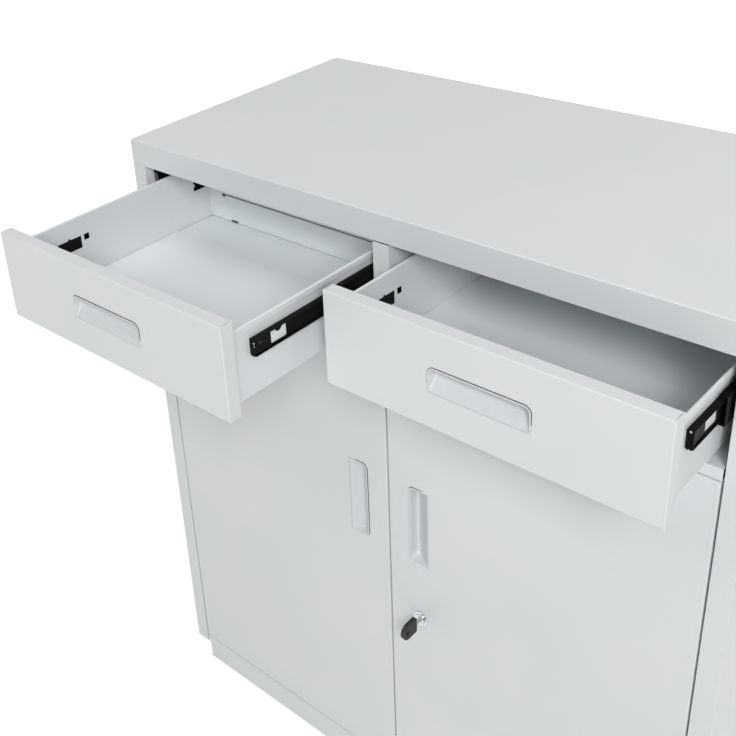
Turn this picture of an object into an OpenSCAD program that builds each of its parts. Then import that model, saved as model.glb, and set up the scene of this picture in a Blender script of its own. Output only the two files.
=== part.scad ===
// Steel office cabinet: two drawers on ball-bearing slides over a cupboard with two hinged doors.
// Millimetres, +Z up, +X to the right, the front faces -Y.
// The origin is on the floor, under the centre of the carcass.
// The drawers are drawn partly pulled out, and the doors are shut.

/* [Carcass] */
// Overall width
cab_w = 800; // [700:10:1000]
// Overall depth of the carcass
cab_d = 400; // [390:5:500]
// Overall height
cab_h = 900; // [860:10:1200]
// Thickness of the carcass sheet
sheet = 0.8; // [0.6:0.1:1.2]
// Outside radius where a sheet is folded
bend_r = 1.6; // [1.3:0.1:3]
// Width of the stile down each front corner
stile_w = 22; // [20:1:30]
// Depth of the fold behind each stile
stile_return = 14; // [8:1:15]
// Width of the flange down each back corner
back_flange_w = 20; // [14:1:30]
// Width of the flange along the top of each side panel
side_top_flange_w = 16; // [14:1:20]
// Height of the skirt round the top cap
cap_h = 33; // [28:1:45]
// Width of the lip inside the bottom of the skirt
cap_lip = 12; // [8:1:14]
// Width of the upright between the drawers
partition_w = 21; // [18:1:30]
// Gap between the upright and the top cap
partition_top_gap = 1.5; // [0.5:0.5:3]
// Width of the feet along the bottom of the upright
partition_foot_w = 8; // [5:1:10]
// Height of the rail between the drawers and the doors
mid_rail_h = 13; // [10:1:20]
// Height of the rail under the doors
bottom_rail_h = 13; // [10:1:20]
// Gap between each end of a rail and the stile beside it
rail_end_gap = 1.8; // [1:0.1:2.4]
// Depth of the fold under each rail
rail_flange = 30; // [28:1:40]
// Height of the strip that the doors close against
stop_h = 10; // [8:1:16]
// Distance of that strip's face behind the front
stop_setback = 19.2; // [18:0.2:24]
// Distance of the strip's ends from the stiles
stop_end_clear = 36; // [30:1:60]
// Height of the fold along the top of the back panel
back_fold = 10; // [6:1:14]

/* [Base] */
// Height of the base frame
base_h = 50; // [40:5:100]
// Distance of the base frame inside the carcass on every side
base_inset = 12; // [6:1:16]
// Thickness of the base frame's sheet
base_sheet = 1.2; // [1:0.1:2]
// Width of the base frame's flanges
base_flange = 24; // [20:1:30]

/* [Wall fixing] */
// Distance between the two wall-fixing holes
wall_hole_spacing = 500; // [300:10:600]
// Radius of a wall-fixing hole
wall_hole_r = 3.25; // [2.5:0.25:4.5]
// Distance of the wall-fixing holes below the top
wall_hole_down = 70; // [60:1:90]

/* [Drawers] */
// Height of a drawer front
front_h = 108; // [104:1:118]
// Thickness of a drawer front
front_t = 16; // [15.5:0.5:20]
// Gap round a drawer front
front_gap = 3.5; // [2:0.5:5]
// Width of the lips behind a drawer front
front_lip = 8; // [5:1:12]
// Outside fold radius of drawer fronts and doors
front_bend_r = 1.4; // [1.2:0.1:2]
// How far the left drawer is pulled out
left_open = 221; // [0:1:250]
// How far the right drawer is pulled out
right_open = 109; // [0:1:250]
// Thickness of the drawer sheet
drawer_sheet = 0.8; // [0.6:0.1:1]
// Inside length of a drawer
drawer_len = 297; // [290:1:330]
// Height of a drawer side
drawer_side_h = 84; // [80:1:90]
// Height of a drawer box above the bottom of its front
box_raise = 7.5; // [6:0.5:10]
// Height of the drawer floor's top above the bottom of the sides
floor_up = 6; // [4:0.5:10]
// Width of the flange that carries the drawer floor
floor_flange = 12; // [8:1:16]
// Width of the rolled edge along a drawer side
hem_w = 4; // [2.5:0.5:4]
// Height of that rolled edge
hem_h = 7; // [5:0.5:9]
// Height of a drawer's back wall below the top of its sides
back_drop = 4; // [0:1:10]
// Length of the flanges behind a drawer's back wall
back_tab = 10; // [6:1:14]
// Height of the drawer's inner front below the top of the front
inner_front_drop = 2; // [1:0.5:6]

/* [Drawer cut-outs] */
// Distance of the front tool hole behind the drawer front
tool_hole_back = 66; // [60:1:80]
// Length of the front tool hole
tool_hole_len = 35; // [20:1:36]
// Height of the tool holes
tool_hole_h = 16; // [10:1:18]
// Height of the front tool hole's middle below the slide's middle
tool_hole_down = 4; // [0:0.5:6]
// Radius of the half-round notch in the front tool hole's top edge
notch_r = 2; // [1:0.5:3]
// Side of the square hole behind the front tool hole
square_hole = 8; // [6:1:12]
// Gap between the square hole and the front tool hole
square_hole_gap = 4; // [2:0.5:6]
// Distance of the rear tool hole in front of the back wall
rear_hole_in = 5; // [2:0.5:20]
// Length of the rear tool hole
rear_hole_len = 22; // [12:1:24]
// Height of the rear tool hole's middle above the slide's middle
rear_hole_up = 2; // [0:0.5:6]
// Radius of the half-round tongue in the rear tool hole's front edge
tongue_r = 2.5; // [1:0.5:4]
// Distance of the back wall's round holes from the sides
back_hole_in = 28; // [20:1:40]
// Radius of the back wall's round holes
back_hole_r = 2.5; // [1.5:0.5:4]
// Height of the back wall's round holes above the floor
back_hole_up = 35; // [20:1:50]
// Distance of the slots in the back wall's bottom from the sides
back_slot_in = 45; // [36:1:60]
// Length of those slots
back_slot_len = 12.5; // [8:0.5:16]
// Height of those slots
back_slot_h = 2.5; // [1.5:0.5:5]
// Gap between a drawer floor and the walls round it
floor_gap = 0.4; // [0.2:0.1:0.8]
// Side of the notches in a drawer floor's rear corners
floor_notch = 2.5; // [1:0.5:4]

/* [Slides] */
// Thickness of a slide, from carcass to drawer
slide_t = 12.7; // [12.5:0.1:14]
// Height of a slide
slide_h = 45; // [44:0.5:50]
// Length of a slide
slide_len = 250; // [240:5:280]
// Distance of a shut slide's front end behind the cabinet front
slide_setback = 44; // [38:1:50]
// Height of the slide's middle above the bottom of the drawer box
slide_up = 55; // [48:1:58]
// Thickness of the slide's steel
rail_t = 1.2; // [1:0.1:1.4]
// Height of the middle rail
middle_rail_h = 30; // [28:0.5:33]
// Height of the drawer rail
inner_rail_h = 19.5; // [18:0.5:22]
// Depth of the outer rail's flanges
outer_rail_d = 9; // [8:0.5:9]
// Depth of the middle and drawer rails' flanges
inner_rail_d = 7; // [6:0.1:8.3]
// Gap between the outer rail's web and the middle rail's web
web_gap = 1.4; // [1.2:0.1:1.8]
// Running clearance of balls and cages
ball_clear = 0.3; // [0.2:0.05:0.4]
// Length of a ball cage
cage_len = 110; // [80:5:120]
// Distance between balls in a cage
ball_pitch = 13; // [8:1:20]
// Thickness of a cage strip
cage_t = 0.6; // [0.4:0.1:0.8]
// Width of a cage strip
cage_w = 4; // [3:0.5:4.5]
// Distance of the release hole from the drawer rail's front end
release_hole_back = 28; // [20:1:40]
// Length of the release hole
release_hole_len = 23; // [16:1:28]
// Height of the release hole
release_hole_h = 12; // [8:1:12]
// Height of the release hole's middle below the slide's middle
release_hole_down = 2.3; // [0:0.1:2.3]
// Radius of the half-round tongue in the release hole
release_tongue_r = 3.5; // [3:0.5:5]
// Radius of the two bottom corners of a drawer rail's front end
rail_corner_r = 2.5; // [1:0.5:3]
// Width and height of the notch between those corners
rail_notch = 1.2; // [0.8:0.1:1.6]
// Radius of the hole at the front of a drawer rail
rail_hole_r = 2; // [1.5:0.25:2.5]
// Distance of that hole's middle from the rail's front end
rail_hole_in = 5; // [4:0.5:8]
// Height of that hole's middle above the slide's middle
rail_hole_up = 4; // [0:0.5:5]
// Radius of a slide screw's shank
slide_screw_r = 2; // [1.5:0.25:2.5]
// Distance of the slide screws from the slide's ends
slide_screw_in = 14; // [8:1:20]
// Thickness of the brackets that carry the outer slides
bracket_t = 1; // [0.8:0.1:1.5]
// Distance of those brackets' front ends behind the stiles' returns
bracket_back = 6; // [2:1:20]
// Height of those brackets
bracket_h = 70; // [50:1:72]
// Height of each bracket's two feet
bracket_foot = 10; // [6:1:14]

/* [Handles] */
// Length of a handle insert
handle_len = 110; // [90:1:140]
// Height of a handle insert
handle_h = 29; // [24:1:36]
// Depth of a handle's cup
cup_depth = 13; // [10:0.5:13.5]
// Width of the rim round the cup
rim_w = 3; // [2:0.5:5]
// How far the rim stands out of the sheet
rim_t = 1; // [0.6:0.1:2]
// Wall thickness of the cup
cup_wall = 1.2; // [0.8:0.1:1.5]
// How far the rim stands out at the cup's shallow edge
rim_end_t = 0.2; // [0.1:0.1:0.5]
// Radius of the two corners at the cup's deep edge
cup_r = 6; // [2:0.5:8]
// Height of the steep part of the cup's floor
cup_step = 4; // [2:0.5:8]

/* [Doors] */
// Thickness of a door
door_t = 16; // [15:0.5:18]
// Gap between a door and the rails above and below it
door_end_gap = 2; // [1.5:0.5:4]
// Gap between a door's hinge edge and the stile
door_gap = 2.5; // [2:0.5:4]
// Gap between the two doors
meeting_gap = 2.5; // [2:0.5:4]
// Width of the lips behind a door
door_lip = 12; // [8:1:16]
// Distance of a hinge pin from the door's hinge edge
pivot_in = 10; // [9:0.5:12]
// Distance of a hinge pin behind the door's face
pivot_back = 7; // [6:0.5:8]
// Radius of a hinge pin
pin_r = 3; // [2:0.25:4]
// Radial running clearance of a hinge pin
pin_clear = 0.05; // [0.02:0.01:0.1]
// Radius of a hinge pin's collar
collar_r = 5; // [4:0.5:6]
// Thickness of a hinge pin's collar
collar_t = 2; // [1:0.5:4]
// Length of a hinge pin beyond the door's edge
pin_reach = 8; // [7:0.5:10]
// Width of the stiffener inside a door
stiffener_w = 50; // [30:1:80]
// Width of the stiffener's feet
stiffener_foot = 10; // [6:1:16]
// Distance of the stiffener from the door's top and bottom
stiffener_end = 30; // [20:1:60]
// Distance of a door handle's middle from the door's free edge
door_handle_in = 43.75; // [38:0.25:60]
// Height of a door handle's middle above the floor
door_handle_z = 509; // [450:1:620]
// Radius of a rubber bumper
bumper_r = 4; // [3:0.5:4.5]
// Distance between the two bumpers of a door
bumper_spacing = 220; // [120:5:240]
// Clearance between a shut door and its bumpers and washers
rest_gap = 0.3; // [0.2:0.1:0.5]
// Radius of a pivot washer
washer_r = 6; // [5:0.5:7]

/* [Lock] */
// Distance of the lock from the door's free edge
lock_in = 45; // [42:0.5:60]
// Height of the lock above the floor
lock_z = 368; // [320:1:400]
// Radius of the lock's face
lock_face_r = 10.5; // [10:0.5:12]
// How far the lock's face stands out of the door
lock_face_t = 2.5; // [1.5:0.5:4]
// Radius of the lock's barrel
barrel_r = 9; // [8:0.25:9.5]
// Radius of the plug that turns in the barrel
plug_r = 6.5; // [6:0.25:7]
// Radial running clearance of the plug
plug_clear = 0.05; // [0.02:0.01:0.1]
// How far the plug stands out of the lock's face
plug_proud = 0.6; // [0.2:0.1:1.5]
// Thickness of the nut behind the door's sheet
nut_t = 3; // [2:0.5:5]
// Radius of that nut across its corners
nut_r = 13; // [12:0.5:15]
// Radius at which the cam's pins drive the rods
throw_r = 12; // [10:0.5:13]
// Thickness of the cam
cam_t = 1.5; // [1:0.25:2]
// Radius of a cam pin
cam_pin_r = 2; // [1.5:0.25:2.5]
// Width of a lock rod
rod_w = 10; // [8:0.5:12]
// Thickness of a lock rod
rod_t = 1.5; // [1:0.25:2]
// Clearance round a lock rod and its pin
rod_clear = 0.5; // [0.4:0.05:0.7]
// Distance of the rods behind the door's face
rod_back = 10.5; // [9:0.25:12]
// Distance of a rod's middle line from the lock's middle line
rod_out = 20; // [19.5:0.25:24]
// Thickness of a rod guide's strap
guide_t = 1; // [0.8:0.1:1.5]
// Length of a rod guide
guide_len = 16; // [10:1:24]
// Width of a rod guide's feet
guide_foot = 4; // [2:0.5:6]
// Distance of the outer guides from the door's top and bottom
guide_in = 48; // [30:1:80]
// Distance of the inner guides from the rods' arms
guide_gap = 24; // [8:1:40]
// Width of metal left round the slots and pins of the cam and the arms
slot_edge = 2; // [1.5:0.5:3]

/* [Key] */
// Length of the key's blade inside the plug
blade_in = 14; // [10:1:16]
// Height of the key's blade
blade_h = 7; // [5:0.5:8]
// Thickness of the key's blade
blade_t = 2; // [1.5:0.25:2.5]
// Clearance round the blade in its keyway
key_clear = 0.35; // [0.3:0.05:0.5]
// Length of blade between the plug and the bow
blade_out = 9; // [2:0.5:12]
// Length of the key's bow
bow_len = 26; // [20:1:34]
// Height of the key's bow
bow_h = 22; // [18:1:28]
// Thickness of the key's bow
bow_t = 5; // [4:0.5:7]
// Corner radius of the bow beside the blade
bow_r = 2; // [1:0.5:4]
// Radius of the hole in the key's bow
bow_hole_r = 3; // [2:0.5:5]
// Distance of that hole's middle from the bow's end
bow_hole_in = 8; // [7:0.5:12]

/* [Shelf] */
// Thickness of the adjustable shelf
shelf_t = 20; // [15:1:30]
// Gap between the shelf and the uprights beside it
shelf_gap = 1.5; // [1:0.25:3]
// Distance of the shelf behind the cabinet front
shelf_setback = 30; // [26:1:60]
// Number of the slot, from the bottom, that carries the shelf
shelf_slot = 7; // [2:1:11]
// Distance between the slots that carry the shelf
slot_pitch = 50; // [25:5:60]
// Height of a slot
slot_h = 10; // [6:1:12]
// Width of a slot
slot_w = 4; // [3:0.5:6]
// Width of a slotted upright
upright_w = 25; // [20:1:30]
// Distance of a front upright behind the cabinet front
upright_setback = 50; // [40:1:80]
// Distance of a rear upright in front of the cabinet back
upright_back = 40; // [30:1:80]
// Thickness of a shelf clip
clip_t = 1.5; // [1:0.25:2]
// Length of a clip's ledge
clip_ledge = 9; // [6:1:14]

/* [Fasteners] */
// Radius of a carcass screw's shank
screw_r = 2; // [1.5:0.25:2.5]
// Radius of a carcass screw's head
screw_head_r = 4; // [3:0.25:5]
// Height of a carcass screw's head
screw_head_h = 2; // [1:0.25:3]
// Length of a carcass screw's shank
screw_len = 8; // [6:1:12]
// Clearance round a screw's shank
screw_clear = 0.2; // [0.1:0.05:0.4]
// Distance of the outer cap screws from the front and the back
cap_screw_in = 80; // [50:5:120]
// Distance of the base screws from the middle of the cabinet
base_screw_x = 200; // [150:5:300]
// Distance of the base screws' heads from the base frame's sheet
base_screw_in = 2; // [1:0.5:6]

/* [Hidden] */

$fn = 48;
cut = 1;                                        // how far a cutting shape runs past what it cuts
nick = 0.1;                                     // the same where little room is left
paint = [0.83, 0.85, 0.86];
inside_paint = [0.77, 0.79, 0.80];
slide_black = [0.09, 0.10, 0.10];
zinc = [0.72, 0.73, 0.74];

// Carcass levels and faces
front_y = -cab_d / 2;
back_y = cab_d / 2;
side_x = cab_w / 2;
inner_x = side_x - sheet;                       // inside face of a side panel
stile_x = side_x - stile_w;                     // inside edge of a stile
cap_z = cab_h - cap_h;                          // bottom of the top cap's skirt
front_top_z = cap_z - front_gap;
front_bottom_z = front_top_z - front_h;
mid_top_z = front_bottom_z - front_gap;         // top of the shelf under the drawers
mid_bottom_z = mid_top_z - mid_rail_h;
bottom_top_z = base_h + bottom_rail_h;          // top of the cupboard's bottom
back_inner_y = back_y - 2 * sheet;              // inside face of the back panel
deck_front_y = front_y + stile_return;          // where the decks widen behind the stiles

// Drawer bays
bay_w = stile_x - partition_w / 2;
bay_x = (stile_x + partition_w / 2) / 2;        // middle of the right bay
front_w = bay_w - 2 * front_gap;
box_w = bay_w - 2 * slide_t;                    // outside width of a drawer box
box_in_w = box_w - 2 * drawer_sheet;
box_z = front_bottom_z + box_raise;             // bottom of the drawer sides
side_top_z = box_z + drawer_side_h;
floor_z = box_z + floor_up;                     // top of a drawer floor
slide_z = box_z + slide_up;
back_wall_y = front_t + drawer_len;             // behind the drawer front's face
back_wall_top_z = side_top_z - back_drop;
handle_z = (front_bottom_z + front_top_z) / 2;

// Slide sections, measured from the face that carries the slide
middle_web_x = rail_t + web_gap;
inner_web_x = slide_t - rail_t;
outer_race_z = slide_h / 2 - rail_t;            // inside of the outer rail's flange
middle_race_z = middle_rail_h / 2 - rail_t;
outer_ball_r = (outer_race_z - middle_rail_h / 2) / 2 - ball_clear;
inner_ball_r = (middle_race_z - inner_rail_h / 2) / 2 - ball_clear;
outer_ball_x = (middle_web_x + outer_rail_d) / 2;
inner_ball_x = (middle_web_x + rail_t + slide_t) / 2;
slide_screw_head = 0.8;

// Handle cup
cup_len = handle_len - 2 * rim_w;
cup_h = handle_h - 2 * rim_w;
cup_out_len = cup_len + 2 * cup_wall;
cup_out_h = cup_h + 2 * cup_wall;
cup_out_depth = cup_depth + cup_wall;
cup_out_r = cup_r + cup_wall;
rim_r = cup_r + rim_w;

// Doors
door_top_z = mid_bottom_z - door_end_gap;
door_bottom_z = bottom_top_z + door_end_gap;
hinge_edge_x = stile_x - door_gap;
free_edge_x = meeting_gap / 2;
door_w = hinge_edge_x - free_edge_x;
door_mid_x = (hinge_edge_x + free_edge_x) / 2;
pivot_x = hinge_edge_x - pivot_in;
pivot_y = front_y + pivot_back;
pin_hole_r = pin_r + pin_clear;
door_handle_x = free_edge_x + door_handle_in;
stop_x = stile_x - stop_end_clear;

// Lock, rods and key
lock_x = free_edge_x + lock_in;
barrel_end_y = front_y + door_t - cam_t - rest_gap;
cam_y = barrel_end_y + rest_gap;                // front face of the cam
cam_back_y = cam_y + cam_t;
cam_r = throw_r + cam_pin_r + slot_edge;
lower_arm_y = cam_back_y + rod_clear;
upper_arm_y = lower_arm_y + rod_t + rod_clear;
lead_angle = acos(2 / PI);                      // where a pin's height leads its rod's by most
rod_slack = throw_r * (sin(lead_angle) - lead_angle / 90);
arm_slot_h = 2 * (cam_pin_r + rod_slack + rod_clear);
arm_h = arm_slot_h + 3 * slot_edge;
upper_rod_x = lock_x + rod_out;
lower_rod_x = lock_x - rod_out;
rod_y = front_y + rod_back;                     // front face of both rods
plug_face_y = front_y - lock_face_t - plug_proud;
blade_tip_y = plug_face_y + blade_in;

// Shelf and its uprights
front_upright_y = front_y + upright_setback;
rear_upright_y = back_y - upright_back;
slot_first_z = bottom_top_z + slot_pitch / 2;
slot_count = floor((mid_top_z - sheet - slot_first_z - slot_h) / slot_pitch) + 1;
ledge_z = slot_first_z + (shelf_slot - 1) * slot_pitch - slot_h / 2;
shelf_half_w = stile_x - shelf_gap;

// A box given by its two ends along each axis
module block(x, y, z)
    translate([x[0], y[0], z[0]]) cube([x[1] - x[0], y[1] - y[0], z[1] - z[0]]);

// A cylinder along X, Y or Z from one end to the other
module rod_along_y(r, x, y, z)
    translate([x, y[1], z]) rotate([90, 0, 0]) cylinder(r = r, h = y[1] - y[0]);
module rod_along_z(r, x, y, z)
    translate([x, y, z[0]]) cylinder(r = r, h = z[1] - z[0]);
module rod_along_x(r, x, y, z)
    translate([x[0], y, z]) rotate([0, 90, 0]) cylinder(r = r, h = x[1] - x[0]);

// The same shape on the left and the right
module mirrored() {
    children();
    mirror([1, 0, 0]) children();
}

// A rectangle whose two corners at the low end of its first axis are rounded
module rounded_low(a, b, r) {
    translate([a[0] + r, b[0]]) square([a[1] - a[0] - r, b[1] - b[0]]);
    translate([a[0], b[0] + r]) square([r, b[1] - b[0] - 2 * r]);
    for (c = [b[0] + r, b[1] - r]) translate([a[0] + r, c]) circle(r);
}

// A rectangle whose two corners at the high end of its second axis are rounded
module rounded_top(a, b, r) {
    translate([a[0], b[0]]) square([a[1] - a[0], b[1] - b[0] - r]);
    translate([a[0] + r, b[0]]) square([a[1] - a[0] - 2 * r, b[1] - b[0]]);
    for (c = [a[0] + r, a[1] - r]) translate([c, b[1] - r]) circle(r);
}

// A box whose four front edges are folded to a radius
module folded_front(x, y, z, r)
    intersection() {
        translate([x[0], 0, 0]) rotate([90, 0, 90]) linear_extrude(x[1] - x[0])
            rounded_low(y, z, r);
        translate([0, 0, z[0]]) linear_extrude(z[1] - z[0])
            rotate(90) mirror([0, 1]) rounded_low(y, x, r);
    }

// A box whose four top edges are folded to a radius
module folded_top(x, y, z, r)
    intersection() {
        translate([x[0], 0, 0]) rotate([90, 0, 90]) linear_extrude(x[1] - x[0])
            rounded_top(y, z, r);
        translate([0, y[1], 0]) rotate([90, 0, 0]) linear_extrude(y[1] - y[0])
            rounded_top(x, z, r);
    }

// A shallow tray that opens backwards, with lips round its mouth
module front_pan(x, y, z, t, lip, r)
    difference() {
        folded_front(x, y, z, r);
        folded_front([x[0] + t, x[1] - t], [y[0] + t, y[1] - t], [z[0] + t, z[1] - t], r - t);
        block([x[0] + t + lip, x[1] - t - lip], [y[1] - t - cut, y[1] + cut],
            [z[0] + t + lip, z[1] - t - lip]);
    }

// Top of the cabinet: a lid with a skirt and a lip inside the skirt's bottom
module top_cap()
    color(paint) difference() {
        folded_top([-side_x, side_x], [front_y, back_y], [cap_z, cab_h], bend_r);
        folded_top([-inner_x, inner_x], [front_y + sheet, back_y - sheet],
            [cap_z + sheet, cab_h - sheet], bend_r - sheet);
        block([-inner_x + cap_lip, inner_x - cap_lip],
            [front_y + sheet + cap_lip, back_y - sheet - cap_lip], [cap_z - cut, cap_z + 2 * sheet]);
        cap_screw_holes(cap_z);
    }

// Places of the screws between the cap and the side panels, right side
cap_screw_x = inner_x - cap_lip / 2;
module cap_screw_places()
    for (y = [front_y + cap_screw_in, 0, back_y - cap_screw_in])
        translate([cap_screw_x, y, 0]) children();
module cap_screw_holes(z)
    mirrored() cap_screw_places()
        rod_along_z(screw_r + screw_clear, 0, 0, [z - 2 * sheet, z + 2 * sheet]);

// One side of the carcass, drawn on the right
module side_panel()
    color(paint) difference() {
        block([stile_x, side_x], [front_y, back_y], [base_h, cap_z]);
        block([stile_x - cut, inner_x], [front_y + stile_return, back_y - sheet],
            [base_h - cut, cap_z - sheet]);
        block([stile_x + sheet, inner_x], [front_y + sheet, front_y + stile_return + cut],
            [base_h - cut, cap_z - sheet]);
        block([stile_x - cut, side_x - side_top_flange_w],
            [front_y + stile_return, back_y + cut], [cap_z - sheet - cut, cap_z + cut]);
        block([stile_x - cut, side_x - back_flange_w], [back_y - sheet - cut, back_y + cut],
            [base_h - cut, cap_z + cut]);
        cap_screw_holes(cap_z);
    }
module left_side_panel() mirror([1, 0, 0]) side_panel();
module right_side_panel() side_panel();

// Back of the carcass, inside the side panels' flanges
module back_panel()
    color(paint) difference() {
        union() {
            block([-inner_x, inner_x], [back_inner_y, back_y - sheet], [base_h, cap_z - sheet]);
            block([-stile_x, stile_x], [back_inner_y - back_fold, back_inner_y + sheet],
                [cap_z - 2 * sheet, cap_z - sheet]);
        }
        mirrored() rod_along_y(wall_hole_r, wall_hole_spacing / 2, [back_inner_y - cut, back_y],
            cab_h - wall_hole_down);
    }

// A deck between the side panels, with a rail across its front and a flange under the rail
module deck(top_z, rail_h) {
    rail_x = [-stile_x + rail_end_gap, stile_x - rail_end_gap];
    block(rail_x, [front_y, deck_front_y + cut], [top_z - sheet, top_z]);
    block([-inner_x, inner_x], [deck_front_y, back_inner_y], [top_z - sheet, top_z]);
    block(rail_x, [front_y, front_y + sheet], [top_z - rail_h, top_z]);
    block(rail_x, [front_y, front_y + rail_flange], [top_z - rail_h, top_z - rail_h + sheet]);
}

// Holes in a rail for the hinge pins and the lock rods
module pin_holes(z)
    mirrored() rod_along_z(pin_hole_r, pivot_x, pivot_y, z);
module strike_hole(rod_x, z)
    block([rod_x - rod_w / 2 - rod_clear, rod_x + rod_w / 2 + rod_clear],
        [rod_y - rod_clear, rod_y + rod_t + rod_clear], z);

// Deck between the drawers and the doors, with the strip that the doors close against
module mid_shelf()
    color(paint) difference() {
        union() {
            deck(mid_top_z, mid_rail_h);
            block([-stop_x, stop_x], [front_y + stop_setback, front_y + stop_setback + sheet],
                [mid_bottom_z - stop_h, mid_bottom_z + sheet]);
        }
        pin_holes([mid_bottom_z - cut, mid_bottom_z + sheet + cut]);
        strike_hole(upper_rod_x, [mid_bottom_z - cut, mid_bottom_z + sheet + cut]);
    }

// Bottom of the cupboard
module bottom_panel()
    color(paint) difference() {
        union() {
            deck(bottom_top_z, bottom_rail_h);
            block([-inner_x, inner_x], [back_inner_y - rail_flange, back_inner_y],
                [base_h, base_h + sheet]);
            block([-inner_x, inner_x], [back_inner_y - sheet, back_inner_y],
                [base_h, bottom_top_z]);
        }
        pin_holes([bottom_top_z - sheet - cut, bottom_top_z + cut]);
        strike_hole(lower_rod_x, [bottom_top_z - sheet - cut, bottom_top_z + cut]);
        base_screw_places() rod_along_z(screw_r + screw_clear, 0, 0, [base_h - cut, base_h + 2 * sheet]);
    }

// Frame under the cabinet: four channels with their flanges turned inwards
base_x = side_x - base_inset;
base_y = cab_d / 2 - base_inset;
module base_frame()
    color(paint) difference() {
        block([-base_x, base_x], [-base_y, base_y], [0, base_h]);
        block([-base_x + base_sheet, base_x - base_sheet], [-base_y + base_sheet, base_y - base_sheet],
            [base_sheet, base_h - base_sheet]);
        block([-base_x + base_flange, base_x - base_flange], [-base_y + base_flange, base_y - base_flange],
            [-cut, base_h + cut]);
        base_screw_places() rod_along_z(screw_r + screw_clear, 0, 0, [base_h - 2 * base_sheet, base_h + cut]);
    }

// Places of the screws between the bottom panel and the base frame
base_screw_y = base_y - base_sheet - screw_head_r - base_screw_in;
module base_screw_places()
    mirrored() for (y = [-base_screw_y, base_screw_y]) translate([base_screw_x, y, 0]) children();

// Upright between the drawers: a channel that carries a slide on each face
module drawer_partition()
    color(paint) {
        difference() {
            block([-partition_w / 2, partition_w / 2], [front_y, back_inner_y - back_fold],
                [mid_top_z, cap_z - partition_top_gap]);
            block([-partition_w / 2 + sheet, partition_w / 2 - sheet], [front_y + sheet, back_y],
                [mid_top_z - cut, cap_z]);
            slide_screw_holes();
        }
        mirrored() block([partition_w / 2 - sheet, partition_w / 2 + partition_foot_w],
            [deck_front_y, back_inner_y - back_fold], [mid_top_z, mid_top_z + sheet]);
    }

// Channel that stands off a side panel and carries a slide level with the stile
module runner_bracket() {
    front = deck_front_y + bracket_back;
    color(slide_black) {
        difference() {
            block([stile_x, inner_x], [front, back_inner_y],
                [slide_z - bracket_h / 2, slide_z + bracket_h / 2]);
            block([stile_x + bracket_t, inner_x + cut], [front - cut, back_y],
                [slide_z - bracket_h / 2 + bracket_t, slide_z + bracket_h / 2 - bracket_t]);
            slide_screw_holes();
        }
        for (s = [-1, 1]) translate([0, 0, slide_z + s * (bracket_h + bracket_foot) / 2])
            block([inner_x - bracket_t, inner_x], [front, back_inner_y],
                [-bracket_foot / 2 - bracket_t / 2, bracket_foot / 2 + bracket_t / 2]);
    }
}
module left_runner_bracket() mirror([1, 0, 0]) runner_bracket();
module right_runner_bracket() runner_bracket();

// Four slotted strips that carry the shelf
module upright_places()
    mirrored() for (y = [front_upright_y, rear_upright_y]) translate([0, y, 0]) children();
module shelf_uprights()
    color(inside_paint) upright_places() difference() {
        block([stile_x, inner_x], [-upright_w / 2, upright_w / 2], [bottom_top_z, mid_top_z - sheet]);
        block([stile_x + sheet, inner_x + cut], [-upright_w / 2 + sheet, upright_w / 2 - sheet],
            [bottom_top_z - cut, mid_top_z]);
        for (i = [0 : slot_count - 1]) translate([0, 0, slot_first_z + i * slot_pitch])
            block([stile_x - cut, stile_x + 2 * sheet], [-slot_w / 2, slot_w / 2],
                [-slot_h / 2, slot_h / 2]);
    }

// Shelf that hangs on four clips
module adjustable_shelf()
    color(inside_paint) difference() {
        block([-shelf_half_w, shelf_half_w], [front_y + shelf_setback, back_inner_y - shelf_gap],
            [ledge_z, ledge_z + shelf_t]);
        block([-shelf_half_w + sheet, shelf_half_w - sheet],
            [front_y + shelf_setback + sheet, back_inner_y - shelf_gap - sheet],
            [ledge_z - cut, ledge_z + shelf_t - sheet]);
    }

// Clips hooked into the uprights' slots, with a ledge under the shelf's edge
module shelf_clips()
    color(zinc) upright_places() {
        block([stile_x - shelf_gap, stile_x], [-slot_w, slot_w], [ledge_z - clip_t, ledge_z + slot_h]);
        block([stile_x - shelf_gap - clip_ledge, stile_x], [-slot_w, slot_w], [ledge_z - clip_t, ledge_z]);
        block([stile_x - shelf_gap, stile_x + sheet + clip_t], [-slot_w / 2, slot_w / 2],
            [ledge_z, ledge_z + clip_t]);
        block([stile_x + sheet, stile_x + sheet + clip_t], [-slot_w / 2, slot_w / 2],
            [ledge_z - slot_h / 2, ledge_z + clip_t]);
    }

// Rubber buttons that a shut door rests against
module door_bumpers()
    color([0.15, 0.15, 0.15]) mirrored() for (s = [-1, 1])
        rod_along_y(bumper_r, door_mid_x + s * bumper_spacing / 2,
            [front_y + door_t + rest_gap, front_y + stop_setback], mid_bottom_z - stop_h / 2);

// Washers under the doors, round the bottom hinge pins
module pivot_washers()
    color([0.9, 0.9, 0.88]) mirrored() difference() {
        rod_along_z(washer_r, pivot_x, pivot_y, [bottom_top_z, door_bottom_z - rest_gap]);
        rod_along_z(pin_r + rest_gap, pivot_x, pivot_y, [bottom_top_z - cut, door_bottom_z]);
    }

// A pan-headed screw whose head is at the bottom and whose shank points up
module carcass_screw() {
    rod_along_z(screw_head_r, 0, 0, [-screw_head_h, 0]);
    rod_along_z(screw_r, 0, 0, [-screw_head_h / 2, screw_len]);
}
module carcass_screws()
    color(zinc) {
        mirrored() cap_screw_places() translate([0, 0, cap_z - sheet]) carcass_screw();
        base_screw_places() translate([0, 0, base_h + sheet]) mirror([0, 0, 1]) carcass_screw();
    }

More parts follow.
